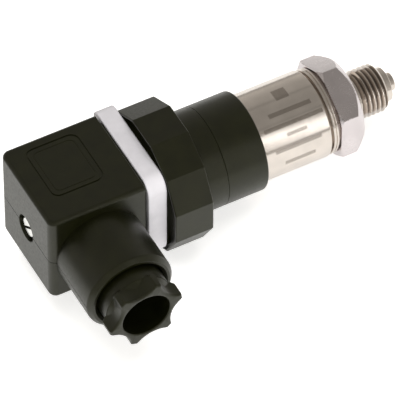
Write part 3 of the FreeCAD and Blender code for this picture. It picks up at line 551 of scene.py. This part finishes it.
def make_base():
    """Neck with a faint foot, twelve-sided flange with a seat, and the blades' platform."""
    neck = rounded([
        (NECK_FRONT, 0.0, 0), (NECK_FRONT, 12.7, 0.2), (RING_BACK, 12.7, 0),
        (RING_BACK, RING_RADIUS, 0.22), (FOOT_FRONT, RING_RADIUS, 0.2),
        (FOOT_FRONT, FOOT_RADIUS, 0.2), (FLANGE_FRONT - 1, FOOT_RADIUS, 0),
        (FLANGE_FRONT - 1, 0.0, 0)])
    build("base_neck", lathe(neck, loop=False), "transmitter", "black_plastic", ["plug_base"])

    flange = edge_rings(polygon(12, FLANGE_FLATS, FLANGE_TURN, 0.5), FLANGE_BACK, FLANGE_FRONT,
                        0.3, 0.4)
    moat = polygon(12, MOAT_FLATS, FLANGE_TURN, 0.0)
    moat = loft([across_x(moat, FLANGE_BACK - 1), across_x(moat, FLANGE_BACK + MOAT_DEPTH)])
    build("base_flange", loft(flange), "transmitter", "black_plastic", ["plug_base"],
          cuts=[moat])

    seat = [point.normalized() * min(point.length, SEAT_REACH)
            for point in divided(inset(GASKET_OUTLINE, 0.3), 0.8)]
    seat = [across_x(seat, x) for x in (FLANGE_BACK, FLANGE_BACK + SEAT_DEPTH)]
    build("base_seat", loft(seat), "transmitter", "black_plastic", ["plug_base"])

    square = rectangle((-10.2, -10.2), (10.2, 10.2), (2.5,) * 4)
    hole = [point.normalized() * BUSH_RADIUS for point in square]
    rings = edge_rings(square, PLATFORM_BACK, PLATFORM_FRONT, 0.4, 0.0)
    rings += [across_x(hole, PLATFORM_FRONT), across_x(hole, PLATFORM_BACK)]
    build("base_platform", loft(rings, loop=True), "transmitter", "black_plastic",
          ["plug_base"])


def make_gasket():
    """Profile gasket with rounded outer edges and a chamfered square hole."""
    wide = inset(GASKET_HOLE, -0.3)
    rings = edge_rings(GASKET_OUTLINE, GASKET_BACK, FLANGE_BACK, 0.35, 0.5, 4)
    rings += [across_x(wide, FLANGE_BACK), across_x(GASKET_HOLE, FLANGE_BACK - 0.3),
              across_x(GASKET_HOLE, GASKET_BACK + 0.3), across_x(wide, GASKET_BACK)]
    build("gasket_profile", loft(rings, loop=True), "plug", "grey_gasket", ["profile_gasket"])


def box(low, high):
    """The eight corners and six faces of a block, for cutting and rounding."""
    points = [(x, y, z) for x in (low[0], high[0]) for y in (low[1], high[1])
              for z in (low[2], high[2])]
    return points, [(0, 1, 3, 2), (4, 6, 7, 5), (0, 4, 5, 1), (2, 3, 7, 6), (0, 2, 6, 4),
                    (1, 5, 7, 3)]


def round_edges(made, radius, wanted, segments=5):
    """Rounds the edges of a block whose two ends pass the test, given in millimetres."""
    work = bmesh.new()
    work.from_mesh(made.data)
    edges = [edge for edge in work.edges if wanted(*[vert.co / MM for vert in edge.verts])]
    bmesh.ops.bevel(work, geom=edges, offset=radius * MM, segments=segments, profile=0.5,
                    affect="EDGES", clamp_overlap=False)
    work.to_mesh(made.data)
    work.free()


# The boss ends 1.6 mm short of the CAD model's, and the nut's collar shows there
BOSS_END, BOSS_RADIUS, CABLE_BORE = 31.6, 12.1, 6.2
HOUSING_LOW = (HOUSING_BACK, -14.0, -13.9)
HOUSING_HIGH = (HOUSING_RIM, 14.0, 15.3)

# Where cutters end that go out through the housing's rim or its top
PAST_RIM, PAST_TOP = -64.0, 16.0

# The frames round the blank label field: distance inside its outline, width, and floor height
LABEL_FRAMES = ((0.0, 0.55, 15.05), (1.6, 0.3, 15.2))
SEAM_HALF_WIDTH = 0.1


def groove(outline, width, low, high):
    """A cutter for a groove that follows an outline of (x, y) points, between two heights."""
    rings = [[(*point, z) for point in inset(outline, distance)]
             for distance, z in ((0.0, low), (0.0, high), (width, high), (width, low))]
    return loft(rings, loop=True)


def label_outline(inside):
    """The rounded outline of the blank label field on the top, or one further inside it."""
    return rectangle((-88.55 + inside, -6.45 + inside), (-73.55 - inside, 11.05 - inside),
                     (2.5 - inside / 2,) * 4)


def make_housing():
    """Housing shell with its cavity, screw recess, cable way, parting line and label frames."""
    made = make_piece("housing_shell", box(HOUSING_LOW, HOUSING_HIGH), "plug",
                      MATERIALS["black_plastic"], ["plug_housing"])
    # An edge counts as lying on a face when it is within a hundredth of a millimetre of it
    back, front, low, high = HOUSING_BACK + 0.01, HOUSING_RIM - 0.01, -13.89, 15.29
    round_edges(made, 2.2, lambda a, b: max(a.x, b.x) < back and abs(a.z - b.z) > 1, 8)
    round_edges(made, 1.2, lambda a, b: min(a.z, b.z) > high and min(a.x, b.x) < front)
    round_edges(made, 1.6, lambda a, b: max(a.z, b.z) < low and min(a.x, b.x) < front)
    round_edges(made, 0.3, lambda a, b: min(a.x, b.x) > front)

    cavity = box((-89.0, -12.0, -11.9), (PAST_RIM, 12.0, 11.9))
    recess = [(HOUSING_BACK - 1, 3.9), (HOUSING_BACK + 0.02, 3.9), (HOUSING_BACK + 0.12, 3.8),
              (HOUSING_BACK + 3.2, 3.8), (HOUSING_BACK + 3.2, 1.6), (HOUSING_BACK + 5.5, 1.6)]
    cable_way = [(10.0, CABLE_BORE), (16.0, CABLE_BORE)]
    parting = rectangle((HOUSING_BACK + 0.15, -13.85), (PAST_RIM, 13.85), (2.1, 0, 0, 2.1))
    carve(made, [cavity, lathe(recess, loop=False, count=64),
                 lathe(cable_way, about_entry, loop=False, count=64),
                 groove(parting, -1.0, -SEAM_HALF_WIDTH, SEAM_HALF_WIDTH)])
    carve(made, [groove(label_outline(inside), width, floor, PAST_TOP)
                 for inside, width, floor in LABEL_FRAMES])
    finish_shading(made)


def make_lip():
    """The lip behind the gap between the housing's rim and the gasket."""
    outline = rectangle((-12.7, -12.6), (12.7, 14.0), (2.0,) * 4)
    inner_end = HOUSING_RIM - 0.5
    rings = [across_x(outline, inner_end), across_x(outline, GASKET_BACK),
             across_x(GASKET_HOLE, GASKET_BACK), across_x(GASKET_HOLE, inner_end)]
    build("housing_lip", loft(rings, loop=True), "plug", "black_plastic", ["plug_housing"])


def make_boss():
    """Cable boss with a stepped bore, a countersunk mouth and its two mould seams."""
    profile = rounded([
        (12.5, CABLE_BORE, 0), (12.5, BOSS_RADIUS, 0), (30.4, BOSS_RADIUS, 0.9),
        (BOSS_END, 10.97, 0.3), (BOSS_END, 10.3, 0), (30.6, 9.4, 0.2), (24.1, 9.4, 0),
        (24.1, 8.85, 0), (16.1, 8.85, 0), (16.1, CABLE_BORE, 0)], steps=5)
    seams = [box((ENTRY_X + low, -BOSS_END - 1, -SEAM_HALF_WIDTH),
                 (ENTRY_X + high, -12.0, SEAM_HALF_WIDTH))
             for low, high in ((-13.0, -11.95), (11.95, 13.0))]
    build("housing_boss", lathe(profile, about_entry), "plug", "black_plastic",
          ["plug_housing"], cuts=seams)


# The nut's stations out along the cable entry, then its radii
NUT_START, COLLAR_START, NUT_FACE, NUT_END = 25.2, 29.6, 34.95, 39.75
NUT_BORE, NUT_SLEEVE, NUT_COLLAR, NUT_TIP, TIP_AT_FACE = 6.65, 8.7, 9.1, 10.35, 9.7

# Each flute is an arc about a centre outside the nut, halfway between two of its six tips
FLUTE_CENTRE, FLUTE_RADIUS, FLUTE_RUN_OUT = 15.95, 8.0, 1.5
FIRST_TIP, TIP_SPACING = 10.0, 60.0


def flute_reach(angle, from_face):
    """Distance from the nut's axis to its fluted side.

    The flutes run out into the round collar at the nut's face, where the tips are chamfered.
    """
    from_tip = (math.degrees(angle) - FIRST_TIP) % TIP_SPACING
    turn = math.radians(from_tip - TIP_SPACING / 2)
    hollow = FLUTE_CENTRE * math.cos(turn) - math.sqrt(
        max(0.0, FLUTE_RADIUS ** 2 - (FLUTE_CENTRE * math.sin(turn)) ** 2))
    waist = FLUTE_CENTRE - FLUTE_RADIUS
    run_out = NUT_COLLAR - (NUT_COLLAR - waist) * from_face / FLUTE_RUN_OUT
    return min(max(hollow, run_out), NUT_TIP, TIP_AT_FACE + from_face)


def make_nut():
    """Gland nut: fluted head on a round collar, its thread turns, and a wide bore."""
    count = 240
    angles = [math.tau * step / count for step in range(count)]

    def round_ring(along, radius):
        return [about_entry(along, radius, angle) for angle in angles]

    def fluted_ring(along, shrink=0.0):
        return [about_entry(along, flute_reach(angle, along - NUT_FACE) - shrink, angle)
                for angle in angles]

    rings = [round_ring(NUT_FACE, NUT_BORE)]
    rings += [fluted_ring(NUT_FACE + along) for along in (0.0, 0.2, 0.4, 0.65, 0.9, 1.2, 1.5)]
    rings += [fluted_ring(NUT_END - 0.65), fluted_ring(NUT_END - 0.35, 0.12),
              fluted_ring(NUT_END - 0.1, 0.4), fluted_ring(NUT_END, 0.75),
              round_ring(NUT_END, 7.05), round_ring(NUT_END - 0.06, 6.85),
              round_ring(NUT_END - 0.3, NUT_BORE)]
    build("nut_head", loft(rings, loop=True), "nut", "black_plastic", ["gland_nut"])
    helix = thread(start=NUT_START, end=COLLAR_START, pitch=1.5, crest=9.3, root=8.65,
                   chamfer=0.3, axis=about_entry)
    build("nut_thread", helix, "nut", "black_plastic", ["gland_nut"])
    sleeve = rounded([
        (NUT_START, NUT_BORE, 0.2), (NUT_START, NUT_SLEEVE, 0), (COLLAR_START, NUT_SLEEVE, 0),
        (COLLAR_START, NUT_COLLAR, 0.3), (NUT_FACE + 0.2, NUT_COLLAR, 0),
        (NUT_FACE + 0.2, NUT_BORE, 0)])
    build("nut_collar", lathe(sleeve, about_entry), "nut", "black_plastic", ["gland_nut"])


# The centre screw's head and shank, then its slot's half-width, depth and turn in degrees
HEAD_RADIUS, HEAD_LENGTH, SHANK_RADIUS = 3.1, 2.1, 1.5
SLOT_HALF_WIDTH, SLOT_DEPTH, SLOT_TURN = 0.4, 1.0, -40.0


def make_centre_screw():
    """Slotted screw with a slightly domed head, its slot turned as the photograph shows."""
    low, high = (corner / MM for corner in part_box("centre_screw"))
    back, shoulder, tip = low.x, low.x + HEAD_LENGTH, high.x
    profile = rounded([
        (back, 0.0, 0), (back, 2.55, 0.3), (back + 0.45, HEAD_RADIUS, 0.25),
        (shoulder, HEAD_RADIUS, 0.15), (shoulder, SHANK_RADIUS, 0.1),
        (tip - 0.4, SHANK_RADIUS, 0), (tip, 1.1, 0), (tip, 0.0, 0)])
    points, faces = box((back - 1, -4.0, -SLOT_HALF_WIDTH),
                        (back + SLOT_DEPTH, 4.0, SLOT_HALF_WIDTH))
    turn = Matrix.Rotation(math.radians(SLOT_TURN), 3, "X")
    slot = [turn @ Vector(point) for point in points], faces
    build("screw_slotted", lathe(profile, loop=False, count=64), "plug_screw",
          "zinc_plated_steel", ["centre_screw"], cuts=[slot])


def dress_cad_nodes():
    """Every CAD node gets its finish from the record's slot."""
    for part in frame["record"]["subparts"]:
        node = frame["nodes"][part["node"]]
        node.data.materials.clear()
        node.data.materials.append(MATERIALS[part["material_slot"]])


# ---- studio --------------------------------------------------------------------------------

def aim(lamp, place, target):
    """Puts a lamp at a place so that its -Z axis points at the target."""
    back = (place - target).normalized()
    lamp.matrix_world = back.to_track_quat("Z", "Y").to_matrix().to_4x4()
    lamp.matrix_world.translation = place
    bpy.context.scene.collection.objects.link(lamp)


def make_camera():
    """The camera, turned about its target by the angles given at the top."""
    azimuth, elevation = math.radians(CAMERA_AZIMUTH), math.radians(CAMERA_ELEVATION)
    back = Vector((math.sin(azimuth) * math.cos(elevation),
                   -math.cos(azimuth) * math.cos(elevation), math.sin(elevation)))
    level = Vector((math.cos(azimuth), math.sin(azimuth), 0.0))
    right = Matrix.Rotation(math.radians(CAMERA_ROLL), 3, back) @ level
    up = back.cross(right)
    camera = bpy.data.objects.new("camera", bpy.data.cameras.new("camera"))
    camera.data.lens = CAMERA_LENS
    camera.data.sensor_width = 36.0
    place = Matrix((right, up, back)).transposed().to_4x4()
    place.translation = CAMERA_TARGET + back * CAMERA_DISTANCE
    camera.matrix_world = place
    bpy.context.scene.collection.objects.link(camera)
    bpy.context.scene.camera = camera


# The floor's radius in metres, the two greys that throw light back on the object, the pale
# colour that the camera sees instead of them, and the strength of its glow
FLOOR_RADIUS = 0.18
FLOOR_GREYS = (0.64, 0.64, 0.62, 1), (0.67, 0.67, 0.65, 1)
FLOOR_PALE = (0.95, 0.95, 0.94, 1)
FLOOR_GLOW = 0.50


def make_floor():
    """A plain pale round floor, tilted so that the instrument rests on it as it lies."""
    slope = FLOOR_UNDER_HEXAGON - FLOOR_UNDER_FLANGE
    along, across = slope.normalized(), Vector((0.0, 1.0, 0.0))
    turns = [math.tau * step / 96 for step in range(96)]
    rim = [FLOOR_UNDER_FLANGE
           + (along * math.cos(turn) + across * math.sin(turn)) * FLOOR_RADIUS
           for turn in turns]
    mesh = bpy.data.meshes.new("floor")
    mesh.from_pydata(rim, [], [tuple(range(len(rim)))])
    floor = bpy.data.objects.new("floor", mesh)
    bpy.context.scene.collection.objects.link(floor)
    material, tree, shader, coords = start_material(
        "floor", (0.9, 0.9, 0.9), Roughness=0.9, Specular_IOR_Level=0.0,
        Emission_Color=(1.0, 1.0, 1.0, 1.0), Emission_Strength=FLOOR_GLOW)
    tint = mix(tree, noise(tree, coords, 8.0), *FLOOR_GREYS)
    camera_ray = add(tree, "LightPath").outputs["Is Camera Ray"]
    link(tree, shader, Base_Color=mix(tree, camera_ray, tint, FLOOR_PALE))
    mesh.materials.append(material)


# Sky for all rays but the camera's: (height of the direction, brightness), and its tint
SKY = ((0.0, 0.38), (0.04, 0.50), (0.15, 0.57), (0.5, 0.44), (0.79, 0.38), (0.81, 0.26),
       (0.83, 0.26), (0.85, 0.36), (1.0, 0.29))
SKY_TINT = (1.0, 0.955, 0.88)


def make_world():
    """White for the camera, and a grey studio that darkens overhead for everything else."""
    world = bpy.data.worlds.new("studio")
    bpy.context.scene.world = world
    world.use_nodes = True
    tree = world.node_tree
    direction = add(tree, "TexCoord").outputs["Generated"]
    height = add(tree, "SeparateXYZ", {0: direction}).outputs["Z"]
    ramp = add(tree, "ValToRGB", {0: height})
    stops = ramp.color_ramp.elements
    # A new ramp has two stops of its own, and the others are added to them
    for index, (place, level) in enumerate(SKY):
        stop = stops[index] if index < 2 else stops.new(place)
        stop.position = place
        stop.color = (*(level * channel for channel in SKY_TINT), 1.0)
    camera_ray = add(tree, "LightPath").outputs["Is Camera Ray"]
    tree.links.new(mix(tree, camera_ray, ramp.outputs[0], (1, 1, 1, 1)),
                   tree.nodes["Background"].inputs["Color"])


# Lamps: azimuth clockwise from +Y and elevation in degrees, distance and size in metres,
# radiance, and whether the metal mirrors them
LAMPS = {"strip": (158.0, 22.5, 0.8, (0.05, 0.62), 2.4, True),
         "top": (0.0, 88.0, 1.3, (1.2, 1.2), 2.7, False),
         "front": (190.0, 12.0, 1.3, (1.2, 1.0), 4.4, False)}
LAMP_TARGET = Vector((-30.0, 0.0, 0.0)) * MM


def area_lamp(name, azimuth, elevation, distance, size, radiance, reflected):
    """A rectangular lamp that faces the middle of the instrument."""
    turn, rise = math.radians(azimuth), math.radians(elevation)
    away = Vector((math.sin(turn) * math.cos(rise), math.cos(turn) * math.cos(rise),
                   math.sin(rise)))
    light = bpy.data.lights.new(name, "AREA")
    light.shape = "RECTANGLE"
    light.size, light.size_y = size
    light.energy = radiance * math.pi * size[0] * size[1]
    lamp = bpy.data.objects.new(name, light)
    lamp.visible_glossy = reflected
    aim(lamp, LAMP_TARGET + away * distance, LAMP_TARGET)


make_camera()
bpy.context.scene.view_settings.view_transform = "Standard"
make_world()
make_floor()
for lamp_name, settings in LAMPS.items():
    area_lamp(lamp_name, *settings)

dress_cad_nodes()
make_connection()
make_case()
make_base()
make_gasket()
make_housing()
make_lip()
make_boss()
make_nut()
make_centre_screw()
